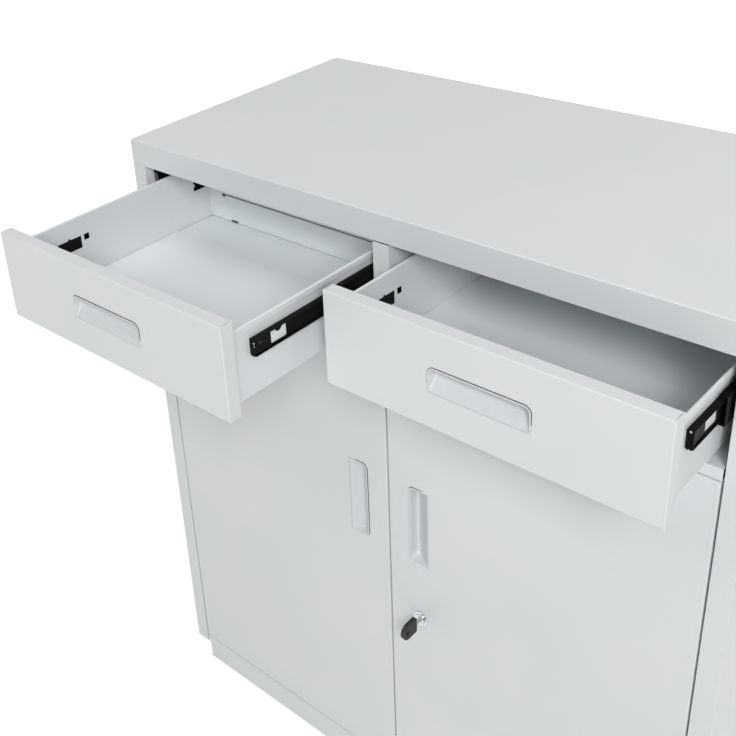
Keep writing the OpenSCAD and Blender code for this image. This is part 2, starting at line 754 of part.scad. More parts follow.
// A slide's rails are drawn on a face at x = 0, running back from y = 0, about z = 0
module outer_rail()
    difference() {
        block([0, outer_rail_d], [0, slide_len], [-slide_h / 2, slide_h / 2]);
        block([rail_t, outer_rail_d + cut], [-cut, slide_len + cut], [-outer_race_z, outer_race_z]);
        slide_screw_places() rod_along_x(slide_screw_r + screw_clear, [-cut, rail_t + cut], 0, 0);
    }
module middle_rail()
    difference() {
        block([middle_web_x, middle_web_x + inner_rail_d], [0, slide_len],
            [-middle_rail_h / 2, middle_rail_h / 2]);
        block([middle_web_x + rail_t, slide_t + cut], [-cut, slide_len + cut],
            [-middle_race_z, middle_race_z]);
    }
module inner_rail()
    difference() {
        block([slide_t - inner_rail_d, slide_t], [0, slide_len], [-inner_rail_h / 2, inner_rail_h / 2]);
        block([0, inner_web_x], [rail_t, slide_len + cut],
            [-inner_rail_h / 2 + rail_t, inner_rail_h / 2 - rail_t]);
        rod_along_x(rail_hole_r, [inner_web_x - cut, slide_t + cut], rail_hole_in, rail_hole_up);
        translate([slide_t - inner_rail_d / 2, rail_t + cut, -inner_rail_h / 2]) rotate([90, 0, 0])
            linear_extrude(rail_t + 2 * cut) rail_end_cuts();
    }

// What is cut from the bottom of a drawer rail's front end: two round corners and a notch
module rail_end_cuts() {
    for (s = [-1, 1]) translate([s * (inner_rail_d / 2 - rail_corner_r), 0]) difference() {
        translate([(s - 1) * rail_corner_r / 2 - (1 - s) * cut / 2, -cut])
            square([rail_corner_r + cut, rail_corner_r + cut]);
        translate([0, rail_corner_r]) circle(rail_corner_r);
    }
    translate([-rail_notch / 2, -cut]) square([rail_notch, rail_notch + cut]);
}

// Hole in the web of a right-hand drawer rail: a half-round tongue hangs from its top edge
module release_hole()
    translate([inner_web_x - cut, release_hole_back, -release_hole_down]) rotate([90, 0, 90])
        linear_extrude(rail_t + 2 * cut) difference() {
            translate([0, -release_hole_h / 2]) square([release_hole_len, release_hole_h]);
            translate([release_hole_len / 2, release_hole_h / 2]) circle(release_tongue_r);
        }

// Screws that hold an outer rail
module slide_screw_places()
    for (y = [slide_screw_in, slide_len - slide_screw_in]) translate([0, y, 0]) children();
module slide_screw_holes()
    for (side = [-1, 1]) in_bay(side, 0) slide_screw_places()
        rod_along_x(slide_screw_r + screw_clear, [-2 * bracket_t, cut], 0, 0);
module slide_screw() {
    rod_along_x(2 * slide_screw_r, [rail_t, rail_t + slide_screw_head], 0, 0);
    rod_along_x(slide_screw_r, [-sheet, rail_t + slide_screw_head / 2], 0, 0);
}

// A strip with a row of balls, above and below the rail that it runs on
module ball_cage(x, inner_z, outer_z, ball_r) {
    mid_z = (inner_z + outer_z) / 2;
    count = floor((cage_len - 2 * ball_r) / ball_pitch);
    first = (slide_len - (count - 1) * ball_pitch) / 2;
    for (s = [-1, 1]) {
        block([x - cage_w / 2, x + cage_w / 2], [(slide_len - cage_len) / 2, (slide_len + cage_len) / 2],
            [s * mid_z - cage_t / 2, s * mid_z + cage_t / 2]);
        for (i = [0 : count - 1]) translate([x, first + i * ball_pitch, s * mid_z]) sphere(ball_r);
    }
}

// Puts a slide's piece on both walls of a drawer bay
module in_bay(side, out)
    translate([side * bay_x, front_y + slide_setback - out, slide_z])
        mirrored() translate([-bay_w / 2, 0, 0]) children();
module on_right_wall(side, out)
    translate([side * bay_x, front_y + slide_setback - out, slide_z])
        mirror([1, 0, 0]) translate([-bay_w / 2, 0, 0]) children();

module outer_rails(side) color(slide_black) in_bay(side, 0) outer_rail();
module middle_rails(side, open) color(slide_black) in_bay(side, open / 2) middle_rail();
module outer_cages(side, open)
    color(zinc) in_bay(side, open / 4)
        ball_cage(outer_ball_x, middle_rail_h / 2, outer_race_z, outer_ball_r);
module inner_cages(side, open)
    color(zinc) in_bay(side, open * 3 / 4)
        ball_cage(inner_ball_x, inner_rail_h / 2, middle_race_z, inner_ball_r);
module drawer_rails(side, open)
    color(slide_black) difference() {
        in_bay(side, open) inner_rail();
        on_right_wall(side, open) release_hole();
    }
module slide_screws() color(zinc) for (side = [-1, 1]) in_bay(side, 0) slide_screw_places() slide_screw();

// A drawer's pieces are drawn shut about x = 0, from the face of the front at y = 0
module drawer_front(side, open)
    color(paint) in_drawer(side, open) difference() {
        front_pan([-front_w / 2, front_w / 2], [0, front_t], [front_bottom_z, front_top_z],
            drawer_sheet, front_lip, front_bend_r);
        translate([0, 0, handle_z]) handle_hole(drawer_sheet);
    }
module drawer_inner_front(side, open)
    color(paint) in_drawer(side, open)
        block([-box_in_w / 2, box_in_w / 2], [front_t, front_t + drawer_sheet],
            [box_z, front_top_z - inner_front_drop]);

// One side of a drawer, drawn on the right: a wall, a rolled top edge and a flange under the floor.
// Only a left-hand side has tool holes.
module drawer_side(with_holes)
    color(paint) difference() {
        union() {
            block([box_in_w / 2, box_w / 2], [front_t, back_wall_y + drawer_sheet + back_tab],
                [box_z, side_top_z - hem_w / 2]);
            block([box_w / 2 - floor_flange, box_w / 2], [front_t + drawer_sheet, back_wall_y],
                [box_z, box_z + drawer_sheet]);
            translate([box_in_w / 2, front_t, 0]) rotate([90, 0, 0]) mirror([0, 0, 1])
                linear_extrude(drawer_len + drawer_sheet + back_tab) hem_profile();
        }
        if (with_holes) translate([box_in_w / 2 - cut, 0, slide_z]) rotate([90, 0, 90])
            linear_extrude(drawer_sheet + 2 * cut) side_holes();
    }

// Outlines of a side's holes, backwards from the drawer front's face and upwards from the slide's middle
module side_holes() {
    top = tool_hole_h / 2 - tool_hole_down;
    translate([tool_hole_back, top - tool_hole_h]) square([tool_hole_len, tool_hole_h]);
    translate([tool_hole_back + tool_hole_len / 2, top]) circle(notch_r);
    translate([tool_hole_back + tool_hole_len + square_hole_gap, top - square_hole]) square(square_hole);
    translate([back_wall_y - rear_hole_in - rear_hole_len, rear_hole_up]) difference() {
        translate([0, -tool_hole_h / 2]) square([rear_hole_len, tool_hole_h]);
        circle(tongue_r);
    }
}

// Section of the rolled edge, outwards from the inside of the wall
module hem_profile() {
    translate([0, side_top_z - hem_h]) square([hem_w, hem_h - hem_w / 2]);
    translate([hem_w / 2, side_top_z - hem_w / 2]) circle(hem_w / 2);
}
module drawer_left_side(side, open) in_drawer(side, open) mirror([1, 0, 0]) drawer_side(true);
module drawer_right_side(side, open) in_drawer(side, open) drawer_side(false);

// Back wall of a drawer, with flanges behind it against the sides
module drawer_back(side, open)
    color(paint) in_drawer(side, open) difference() {
        union() {
            block([-box_in_w / 2, box_in_w / 2], [back_wall_y, back_wall_y + drawer_sheet],
                [box_z, back_wall_top_z]);
            mirrored() block([box_in_w / 2 - drawer_sheet, box_in_w / 2],
                [back_wall_y, back_wall_y + back_tab], [box_z, back_wall_top_z - hem_h]);
            block([-box_in_w / 2, box_in_w / 2], [back_wall_y, back_wall_y + drawer_sheet + hem_w],
                [back_wall_top_z - drawer_sheet, back_wall_top_z]);
        }
        mirrored() rod_along_y(back_hole_r, box_w / 2 - back_hole_in,
            [back_wall_y - cut, back_wall_y + 2 * drawer_sheet], floor_z + back_hole_up);
        mirrored() translate([box_w / 2 - back_slot_in, 0, floor_z])
            block([-back_slot_len / 2, back_slot_len / 2],
                [back_wall_y - cut, back_wall_y + 2 * drawer_sheet], [0, back_slot_h]);
    }

// Floor of a drawer, with its edges turned down onto the sides' flanges
module drawer_floor(side, open) {
    x = box_in_w / 2 - floor_gap;
    y = [front_t + drawer_sheet, back_wall_y - floor_gap];
    color(paint) in_drawer(side, open) difference() {
        block([-x, x], y, [box_z + drawer_sheet, floor_z]);
        block([-x + drawer_sheet, x - drawer_sheet], [y[0] + drawer_sheet, y[1] - drawer_sheet],
            [box_z, floor_z - drawer_sheet]);
        mirrored() block([x - floor_notch, x + cut], [y[1] - floor_notch, y[1] + cut],
            [box_z, floor_z + cut]);
    }
}

module in_drawer(side, open) translate([side * bay_x, front_y - open, 0]) children();

// A handle cup in the XZ plane about the origin, deepest along its top edge. Its rim fades downwards.
module handle()
    difference() {
        union() {
            intersection() {
                handle_outline(rim_t, handle_len, handle_h, rim_r);
                along_handle(handle_len) polygon([[0, handle_h / 2], [-rim_t, handle_h / 2],
                    [-rim_end_t, -handle_h / 2], [0, -handle_h / 2]]);
            }
            cup(cup_out_depth, cup_out_len, cup_out_h, cup_step + cup_wall, cup_out_r);
        }
        cup(cup_depth, cup_len, cup_h, cup_step, cup_r);
        handle_outline(rim_t + cut, cup_len, cup_h, cup_r);
    }

// An outline in the XZ plane with round top corners, as thick as t outwards from just behind y = 0
module handle_outline(t, length, height, r)
    translate([0, nick, 0]) rotate([90, 0, 0]) linear_extrude(t + nick)
        rounded_top([-length / 2, length / 2], [-height / 2, height / 2], r);

// A section drawn in the YZ plane, as long as the handle
module along_handle(length)
    translate([-length / 2, 0, 0]) rotate([90, 0, 90]) linear_extrude(length) children();

// The space of a cup, whose floor slopes from the sheet down to its deep edge
module cup(depth, length, height, step, r)
    intersection() {
        translate([0, depth, 0]) handle_outline(depth, length, height, r);
        along_handle(length) polygon([[-nick, height / 2], [depth, height / 2],
            [depth, height / 2 - step], [0, -height / 2], [-nick, -height / 2]]);
    }

// Hole that a handle's cup needs in a sheet whose face is at y = 0
module handle_hole(t)
    translate([0, t, 0]) handle_outline(t + cut, cup_out_len + 2 * screw_clear,
        cup_out_h + 2 * screw_clear, cup_out_r + screw_clear);
module drawer_handle(side, open)
    color(paint) in_drawer(side, open) translate([0, 0, handle_z]) handle();

// A door is drawn on the right, hinged at its right edge
module door_panel(lock_cuts)
    color(paint) difference() {
        front_pan([free_edge_x, hinge_edge_x], [front_y, front_y + door_t],
            [door_bottom_z, door_top_z], sheet, door_lip, front_bend_r);
        translate([door_handle_x, front_y, door_handle_z]) rotate([0, -90, 0]) handle_hole(sheet);
        rod_along_z(pin_hole_r, pivot_x, pivot_y, [door_bottom_z - cut, door_bottom_z + 2 * sheet]);
        rod_along_z(pin_hole_r, pivot_x, pivot_y, [door_top_z - 2 * sheet, door_top_z + cut]);
        if (lock_cuts) {
            rod_along_y(barrel_r + screw_clear, lock_x, [front_y - cut, front_y + 2 * sheet], lock_z);
            strike_hole(upper_rod_x, [door_top_z - 2 * sheet, door_top_z + cut]);
            strike_hole(lower_rod_x, [door_bottom_z - cut, door_bottom_z + 2 * sheet]);
        }
    }
module left_door_panel() mirror([1, 0, 0]) door_panel(false);
module right_door_panel() door_panel(true);

// Vertical channel that stiffens a door's sheet
module door_stiffener(side) {
    z = [door_bottom_z + stiffener_end, door_top_z - stiffener_end];
    color(paint) translate([side * door_mid_x, front_y + sheet, 0]) {
        difference() {
            block([-stiffener_w / 2, stiffener_w / 2], [0, door_t - 3 * sheet], z);
            block([-stiffener_w / 2 + sheet, stiffener_w / 2 - sheet], [-cut, door_t - 4 * sheet],
                [z[0] - cut, z[1] + cut]);
        }
        mirrored() block([stiffener_w / 2 - sheet, stiffener_w / 2 + stiffener_foot], [0, sheet], z);
    }
}
module door_handle(side)
    color(paint) translate([side * door_handle_x, front_y, door_handle_z])
        rotate([0, -90 * side, 0]) handle();

// Hinge pins of one door, with a collar inside the door and the end in the cabinet's rail
module hinge_pins(side)
    color(zinc) {
        rod_along_z(pin_r, side * pivot_x, pivot_y, [door_top_z - sheet - collar_t, door_top_z + pin_reach]);
        rod_along_z(collar_r, side * pivot_x, pivot_y, [door_top_z - sheet - collar_t, door_top_z - sheet]);
        rod_along_z(pin_r, side * pivot_x, pivot_y,
            [door_bottom_z - pin_reach, door_bottom_z + sheet + collar_t]);
        rod_along_z(collar_r, side * pivot_x, pivot_y,
            [door_bottom_z + sheet, door_bottom_z + sheet + collar_t]);
    }

// Lock: a barrel through the door with a face outside
module lock_body()
    color([0.82, 0.83, 0.84]) difference() {
        union() {
            rod_along_y(lock_face_r, lock_x, [front_y - lock_face_t, front_y], lock_z);
            rod_along_y(barrel_r, lock_x, [front_y - lock_face_t / 2, barrel_end_y], lock_z);
        }
        rod_along_y(plug_r + plug_clear, lock_x, [front_y - lock_face_t - cut, back_y], lock_z);
    }
module lock_nut()
    color(zinc) translate([lock_x, front_y + sheet + nut_t, lock_z]) rotate([90, 0, 0]) difference() {
        cylinder(r = nut_r, h = nut_t, $fn = 6);
        translate([0, 0, -cut]) cylinder(r = barrel_r + screw_clear / 2, h = nut_t + 2 * cut);
    }

// Plug that the key turns, with a keyway through it
module lock_plug()
    color([0.75, 0.76, 0.77]) difference() {
        rod_along_y(plug_r, lock_x, [plug_face_y, cam_y], lock_z);
        block([lock_x - blade_t / 2 - key_clear, lock_x + blade_t / 2 + key_clear],
            [plug_face_y - cut, blade_tip_y + key_clear],
            [lock_z - blade_h / 2 - key_clear, lock_z + blade_h / 2 + key_clear]);
    }

// Cam behind the plug: a disc with one pin for each rod
module lock_cam()
    color(zinc) {
        rod_along_y(cam_r, lock_x, [cam_y, cam_back_y], lock_z);
        rod_along_y(cam_pin_r, lock_x + throw_r, [cam_y, upper_arm_y + rod_t + rod_clear], lock_z);
        rod_along_y(cam_pin_r, lock_x - throw_r, [cam_y, lower_arm_y + rod_t], lock_z);
    }

// An arm that the cam's pin drives, joined to a flat rod. side is 1 for the upper rod.
module lock_rod(side, arm_y, z) {
    rod_x = lock_x + side * rod_out;
    slot_in = cam_pin_r + rod_clear;
    outer = side * (rod_out + rod_w / 2);
    inner = -side * (slot_in + slot_edge);
    color(zinc) translate([lock_x, 0, lock_z]) difference() {
        union() {
            block([min(outer, inner), max(outer, inner)], [arm_y, arm_y + rod_t], [-arm_h / 2, arm_h / 2]);
            block([min(outer, outer - side * rod_t), max(outer, outer - side * rod_t)],
                [rod_y, arm_y + rod_t], [-arm_h / 2, arm_h / 2]);
            block([side * rod_out - rod_w / 2, side * rod_out + rod_w / 2], [rod_y, rod_y + rod_t],
                [min(z, -side * arm_h / 2), max(z, -side * arm_h / 2)]);
        }
        block([min(-side * slot_in, side * (throw_r + slot_in)),
            max(-side * slot_in, side * (throw_r + slot_in))],
            [arm_y - cut, arm_y + rod_t + cut], [-arm_slot_h / 2, arm_slot_h / 2]);
    }
}
module upper_rod() lock_rod(1, upper_arm_y, door_top_z - lock_z - sheet);
module lower_rod() lock_rod(-1, lower_arm_y, door_bottom_z - lock_z + sheet);

// Straps on the door's sheet that guide the rods
module rod_guide(x, z) {
    half = rod_w / 2 + rod_clear;
    top_y = rod_y + rod_t + rod_clear;
    translate([x, 0, z]) difference() {
        block([-half - guide_t, half + guide_t], [front_y + sheet, top_y + guide_t],
            [-guide_len / 2, guide_len / 2]);
        block([-half, half], [front_y, top_y], [-guide_len, guide_len]);
    }
    translate([x, 0, z]) mirrored() block([half, half + guide_t + guide_foot],
        [front_y + sheet, front_y + sheet + guide_t], [-guide_len / 2, guide_len / 2]);
}
module rod_guides()
    color(zinc) {
        for (z = [lock_z + arm_h + guide_gap, door_top_z - guide_in]) rod_guide(upper_rod_x, z);
        for (z = [lock_z - arm_h - guide_gap, door_bottom_z + guide_in]) rod_guide(lower_rod_x, z);
    }

// Key: a steel blade in the plug and a plastic bow outside
bow_y = plug_face_y - blade_out;
module key_blade()
    color(zinc) block([lock_x - blade_t / 2, lock_x + blade_t / 2], [bow_y, blade_tip_y],
        [lock_z - blade_h / 2, lock_z + blade_h / 2]);
module key_bow()
    color([0.08, 0.08, 0.08]) translate([lock_x - bow_t / 2, bow_y, lock_z])
        rotate([90, 0, 90]) linear_extrude(bow_t) difference() {
            union() {
                mirror([1, 0]) rounded_low([0, bow_len - bow_h / 2], [-bow_h / 2, bow_h / 2], bow_r);
                translate([bow_h / 2 - bow_len, 0]) circle(bow_h / 2);
            }
            translate([bow_hole_in - bow_len, 0]) circle(bow_hole_r);
        }

top_cap();
left_side_panel();
right_side_panel();
back_panel();
bottom_panel();
base_frame();
mid_shelf();
drawer_partition();
left_runner_bracket();
right_runner_bracket();
shelf_uprights();
adjustable_shelf();
shelf_clips();
door_bumpers();
pivot_washers();
carcass_screws();
outer_rails(-1);  // left_outer_rails
outer_rails(1);  // right_outer_rails
slide_screws();
middle_rails(-1, left_open);  // left_middle_rails
middle_rails(1, right_open);  // right_middle_rails
outer_cages(-1, left_open);  // left_outer_cages
outer_cages(1, right_open);  // right_outer_cages
inner_cages(-1, left_open);  // left_inner_cages
inner_cages(1, right_open);  // right_inner_cages
drawer_front(-1, left_open);  // left_drawer_front
drawer_inner_front(-1, left_open);  // left_drawer_inner_front
drawer_left_side(-1, left_open);  // left_drawer_left_side
drawer_right_side(-1, left_open);  // left_drawer_right_side
drawer_back(-1, left_open);  // left_drawer_back
drawer_floor(-1, left_open);  // left_drawer_floor
drawer_handle(-1, left_open);  // left_drawer_handle
drawer_rails(-1, left_open);  // left_drawer_rails
drawer_front(1, right_open);  // right_drawer_front
drawer_inner_front(1, right_open);  // right_drawer_inner_front
drawer_left_side(1, right_open);  // right_drawer_left_side
drawer_right_side(1, right_open);  // right_drawer_right_side
drawer_back(1, right_open);  // right_drawer_back
drawer_floor(1, right_open);  // right_drawer_floor
drawer_handle(1, right_open);  // right_drawer_handle
drawer_rails(1, right_open);  // right_drawer_rails
left_door_panel();
door_stiffener(-1);  // left_door_stiffener
door_handle(-1);  // left_door_handle
hinge_pins(-1);  // left_hinge_pins
right_door_panel();
door_stiffener(1);  // right_door_stiffener
door_handle(1);  // right_door_handle
hinge_pins(1);  // right_hinge_pins
lock_body();
lock_nut();
rod_guides();
lock_plug();
lock_cam();
upper_rod();
lower_rod();
key_blade();
key_bow();
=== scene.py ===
from math import cos, pi, radians, sin

import bmesh
import bpy
from mathutils import Matrix, Vector


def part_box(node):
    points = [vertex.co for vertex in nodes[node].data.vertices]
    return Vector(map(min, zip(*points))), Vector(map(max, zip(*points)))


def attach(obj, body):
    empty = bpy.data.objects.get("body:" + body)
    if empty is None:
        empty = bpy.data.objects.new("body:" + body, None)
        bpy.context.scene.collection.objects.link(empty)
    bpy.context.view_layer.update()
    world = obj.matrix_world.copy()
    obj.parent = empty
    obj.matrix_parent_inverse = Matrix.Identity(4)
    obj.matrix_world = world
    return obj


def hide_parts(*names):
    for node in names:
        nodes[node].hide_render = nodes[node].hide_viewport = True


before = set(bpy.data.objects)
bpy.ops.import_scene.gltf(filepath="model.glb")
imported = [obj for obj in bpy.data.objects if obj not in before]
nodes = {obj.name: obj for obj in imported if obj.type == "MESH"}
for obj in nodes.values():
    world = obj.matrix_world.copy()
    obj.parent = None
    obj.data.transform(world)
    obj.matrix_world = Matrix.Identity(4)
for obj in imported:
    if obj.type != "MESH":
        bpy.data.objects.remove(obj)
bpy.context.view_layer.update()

mm = 0.001
mergeWithin = 0.02 * mm  # corners of a CAD mesh that are this close are one
noiseLow, noiseHigh = 0.3, 0.7  # most of a noise texture's values lie between these
noiseRange = {"From Min": noiseLow, "From Max": noiseHigh}


def toLinear(hexColour):  # sRGB hex to the linear colour a shader socket wants
    parts = [int(hexColour[i:i + 2], 16) / 255 for i in (1, 3, 5)]
    return [c / 12.92 if c <= 0.04045 else ((c + 0.055) / 1.055) ** 2.4 for c in parts] + [1.0]


def addNode(tree, kind, settings=None, links=None):  # settings go by socket or property, links by socket
    node = tree.nodes.new("ShaderNode" + kind)
    for key, value in (settings or {}).items():
        if key == "stops":  # places and hex colours of a ramp
            for element, (place, colour) in zip(node.color_ramp.elements, value):
                element.position, element.color = place, toLinear(colour)
        elif isinstance(key, int) or key in node.inputs:
            node.inputs[key].default_value = value
        else:
            setattr(node, key, value)
    for key, source in (links or {}).items():
        tree.links.new(source, node.inputs[key])
    return node


def newMaterial(name):
    material = bpy.data.materials.new(name)
    material.use_nodes = True
    material.node_tree.nodes.clear()
    return material, material.node_tree


def addPiece(name, mesh, material, body, slotName, *replaced, smooth=True, bevelWidth=0, segments=2,
             angle=35):
    shape = bpy.data.meshes.new(name)
    for face in mesh.faces:
        face.smooth = smooth
    mesh.to_mesh(shape)
    mesh.free()
    piece = bpy.data.objects.new(name, shape)
    bpy.context.scene.collection.objects.link(piece)
    piece.data.materials.append(material)
    if bevelWidth:
        rounding = piece.modifiers.new("edges", "BEVEL")
        rounding.width, rounding.segments, rounding.limit_method = bevelWidth, segments, "ANGLE"
        rounding.angle_limit = radians(angle)
        evening = piece.modifiers.new("flatNormals", "WEIGHTED_NORMAL")
        evening.weight, evening.keep_sharp = 100, True
    elif smooth:
        shape.set_sharp_from_angle(angle=radians(angle))
    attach(piece, body)
    if replaced:
        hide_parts(*replaced)
    return piece


def cadCopy(node):  # a merged copy of a CAD node
    mesh = bmesh.new()
    mesh.from_mesh(nodes[node].data)
    bmesh.ops.remove_doubles(mesh, verts=mesh.verts, dist=mergeWithin)
    return mesh


def addDisc(mesh, centre, axis, radius, height, segments, taper=1.0):  # a capped cylinder along axis
    turn = Vector((0, 0, 1)).rotation_difference(Vector(axis)).to_matrix().to_4x4()
    made = bmesh.ops.create_cone(mesh, cap_ends=True, segments=segments, depth=height, radius1=radius,
                                 radius2=radius * taper)["verts"]
    bmesh.ops.translate(mesh, verts=made, vec=(0, 0, height / 2))
    bmesh.ops.transform(mesh, verts=made, matrix=Matrix.Translation(centre) @ turn)
    return made


def addSheet(mesh, outline, depth):  # a closed plate: a flat outline in millimetres, pushed along depth
    face = mesh.faces.new([mesh.verts.new(Vector(point) * mm) for point in outline])
    made = bmesh.ops.extrude_face_region(mesh, geom=[face])["geom"]
    far = [part for part in made if isinstance(part, bmesh.types.BMVert)]
    bmesh.ops.translate(mesh, verts=far, vec=Vector(depth) * mm)


def addBlock(mesh, low, high):
    verts = bmesh.ops.create_cube(mesh, size=1)["verts"]
    bmesh.ops.scale(mesh, verts=verts, vec=[b - a for a, b in zip(low, high)])
    bmesh.ops.translate(mesh, verts=verts, vec=[(a + b) / 2 for a, b in zip(low, high)])


def quarterArc(radius, steps):  # from (0, radius) round to (radius, 0)
    turns = [step * pi / 2 / steps for step in range(steps + 1)]
    return [(radius * sin(turn), radius * cos(turn)) for turn in turns]


powderCoatLook = {
    # the inside tones are the same coat drawn darker, as painted shade
    "white": "#E0E3E4", "whiteLight": "#E3E5E7", "inside": "#D6D9DB", "insideLight": "#DADDDE",
    # the box tones are the same coat drawn lighter, as painted light
    "box": "#EAEFF1", "boxLight": "#EDF2F4", "roughness": 0.42, "insideRoughness": 0.48, "spread": 0.04,
    "ior": 1.5, "cloud": 160.0, "ripple": 3.0, "rippleHeight": 0.010, "rippleStrength": 0.5,
    "grain": 0.9, "grainHeight": 0.004, "grainStrength": 0.25,
}


def powderCoat(name, shade, roughness, look):
    # Polyester powder baked on folded steel sheet: an even satin skin with a faint orange peel.
    # The real peel is about 1 mm from crest to crest. It is drawn 3 mm wide, or it would not show.
    material, tree = newMaterial(name)
    place = {"Vector": addNode(tree, "TexCoord").outputs["Object"]}
    cloud = addNode(tree, "TexNoise", {"Scale": 1 / (look["cloud"] * mm), "Detail": 2.0}, place)
    colour = addNode(tree, "ValToRGB",
                     {"stops": [(noiseLow, look[shade]), (noiseHigh, look[shade + "Light"])]},
                     {"Fac": cloud.outputs["Fac"]})
    peel = addNode(tree, "TexNoise", {"Scale": 1 / (look["ripple"] * mm), "Detail": 1.0}, place)
    grain = addNode(tree, "TexNoise", {"Scale": 1 / (look["grain"] * mm), "Detail": 2.0}, place)
    shine = addNode(tree, "MapRange", noiseRange | {"To Min": roughness - look["spread"],
                                                    "To Max": roughness + look["spread"]},
                    {"Value": grain.outputs["Fac"]})
    wave = addNode(tree, "Bump", {"Strength": look["rippleStrength"], "Distance": look["rippleHeight"] * mm},
                   {"Height": peel.outputs["Fac"]})
    fine = addNode(tree, "Bump", {"Strength": look["grainStrength"], "Distance": look["grainHeight"] * mm},
                   {"Height": grain.outputs["Fac"], "Normal": wave.outputs["Normal"]})
    paint = addNode(tree, "BsdfPrincipled", {"IOR": look["ior"]},
                    {"Base Color": colour.outputs["Color"], "Roughness": shine.outputs["Result"],
                     "Normal": fine.outputs["Normal"]})
    addNode(tree, "OutputMaterial", links={"Surface": paint.outputs["BSDF"]})
    return material


whiteCoat = powderCoat("powderCoatWhite", "white", powderCoatLook["roughness"], powderCoatLook)
# the same coat drawn darker: painted shade on the parts inside the cabinet
insideCoat = powderCoat("powderCoatPaintedShade", "inside", powderCoatLook["insideRoughness"], powderCoatLook)
# the same coat drawn lighter: painted light on the drawers' floors and back walls
boxCoat = powderCoat("powderCoatBrightenedBox", "box", powderCoatLook["roughness"], powderCoatLook)

slideLook = {"black": "#070908", "worn": "#0F1211", "wornFrom": 0.45, "wornTo": 0.85, "roughness": 0.46,
             "smoother": 0.08, "rougher": 0.1, "ior": 1.5, "shine": 0.1, "streak": 0.5, "streakLength": 30.0,
             "streakHeight": 0.006, "relief": 0.4}


def slideCoat(name, look):
    # Black electrophoretic coat on cold-rolled strip: so thin that the rolling streaks along the rail show.
    material, tree = newMaterial(name)
    drawn = addNode(tree, "Mapping", {"Scale": (1, look["streak"] / look["streakLength"], 1)},
                    {"Vector": addNode(tree, "TexCoord").outputs["Object"]})
    streak = addNode(tree, "TexNoise", {"Scale": 1 / (look["streak"] * mm), "Detail": 3.0},
                     {"Vector": drawn.outputs["Vector"]})
    colour = addNode(tree, "ValToRGB",
                     {"stops": [(look["wornFrom"], look["black"]), (look["wornTo"], look["worn"])]},
                     {"Fac": streak.outputs["Fac"]})
    shine = addNode(tree, "MapRange", {"To Min": look["roughness"] - look["smoother"],
                                       "To Max": look["roughness"] + look["rougher"]},
                    {"Value": streak.outputs["Fac"]})
    relief = addNode(tree, "Bump", {"Strength": look["relief"], "Distance": look["streakHeight"] * mm},
                     {"Height": streak.outputs["Fac"]})
    coat = addNode(tree, "BsdfPrincipled", {"IOR": look["ior"], "Specular IOR Level": look["shine"]},
                   {"Base Color": colour.outputs["Color"], "Roughness": shine.outputs["Result"],
                    "Normal": relief.outputs["Normal"]})
    addNode(tree, "OutputMaterial", links={"Surface": coat.outputs["BSDF"]})
    return material


blackCoat = slideCoat("blackElectrophoreticCoat", slideLook)

metalLooks = {
    # Bright zinc plate on steel screws, rods and pins: a cool grey that blurs what it mirrors.
    "zincPlate": {"dark": "#A9ACB0", "light": "#C9CBCD", "roughness": 0.34, "size": 4.0, "depth": 0.01},
    # Chrome plate on polished brass: almost a mirror.
    "chromePlate": {"dark": "#C4C7CA", "light": "#D2D4D6", "roughness": 0.13, "size": 9.0, "depth": 0.003},
    # Chrome steel, ground and lapped for balls, and rivet heads as bright: the sharpest mirror of the four.
    "chromeSteelBall": {"dark": "#B9BBBD", "light": "#CFD0D1", "roughness": 0.10, "size": 2.0, "depth": 0.001},
    # Nickel plate on the stamped key: warmer and softer than chrome.
    "nickelPlate": {"dark": "#B5B3AD", "light": "#CBC9C4", "roughness": 0.24, "size": 3.0, "depth": 0.006},
}


def grainedMaterial(name, look, skin, settings):  # one noise gives the colour, the shine and the relief
    material, tree = newMaterial(name)
    grain = addNode(tree, "TexNoise", {"Scale": 1 / (look["size"] * mm), "Detail": skin["detail"]},
                    {"Vector": addNode(tree, "TexCoord").outputs["Object"]})
    colour = addNode(tree, "ValToRGB", {"stops": [(noiseLow, look["dark"]), (noiseHigh, look["light"])]},
                     {"Fac": grain.outputs["Fac"]})
    shine = addNode(tree, "MapRange", noiseRange | {"To Min": look["roughness"] * skin["smoother"],
                                                    "To Max": look["roughness"] * skin["rougher"]},
                    {"Value": grain.outputs["Fac"]})
    relief = addNode(tree, "Bump", {"Strength": skin["strength"], "Distance": look["depth"] * mm},
                     {"Height": grain.outputs["Fac"]})
    surface = addNode(tree, "BsdfPrincipled", settings,
                      {"Base Color": colour.outputs["Color"], "Roughness": shine.outputs["Result"],
                       "Normal": relief.outputs["Normal"]})
    addNode(tree, "OutputMaterial", links={"Surface": surface.outputs["BSDF"]})
    return material


# All four are mirror-like, with a slow unevenness from the bath or the grinding that blurs them in patches.
plateSkin = {"detail": 3.0, "smoother": 0.8, "rougher": 1.25, "strength": 0.3}
zincPlate, chromePlate, ballSteel, nickelPlate = [
    grainedMaterial(name, look, plateSkin, {"Metallic": 1.0}) for name, look in metalLooks.items()]

plasticLooks = {
    # ABS from a polished mould, for the handle cups: white, with a soft gloss.
    "glossyAbs": {"dark": "#D2D6D7", "light": "#D6D9DB", "roughness": 0.40, "ior": 1.54, "size": 9.0,
                  "depth": 0.001},
    # Moulded nylon washers: a creamy white, finely frosted.
    "mouldedNylon": {"dark": "#DAD9D2", "light": "#E2E1DB", "roughness": 0.50, "ior": 1.53, "size": 1.2,
                     "depth": 0.02},
    # ABS from an etched mould, for the key's bow: near black, dulled by its grain.
    "texturedAbs": {"dark": "#0E0F10", "light": "#141517", "roughness": 0.50, "ior": 1.54, "size": 0.8,
                    "depth": 0.03},
    # Black rubber bumpers: so dark and dull that the same material draws the thin open joints and paints the shade
    # under the handle rims and in the rails' hole mouths.
    "blackRubberAndShade": {"dark": "#1B1B1B", "light": "#262626", "roughness": 0.72, "ior": 1.52, "size": 1.0,
                      "depth": 0.03},
}

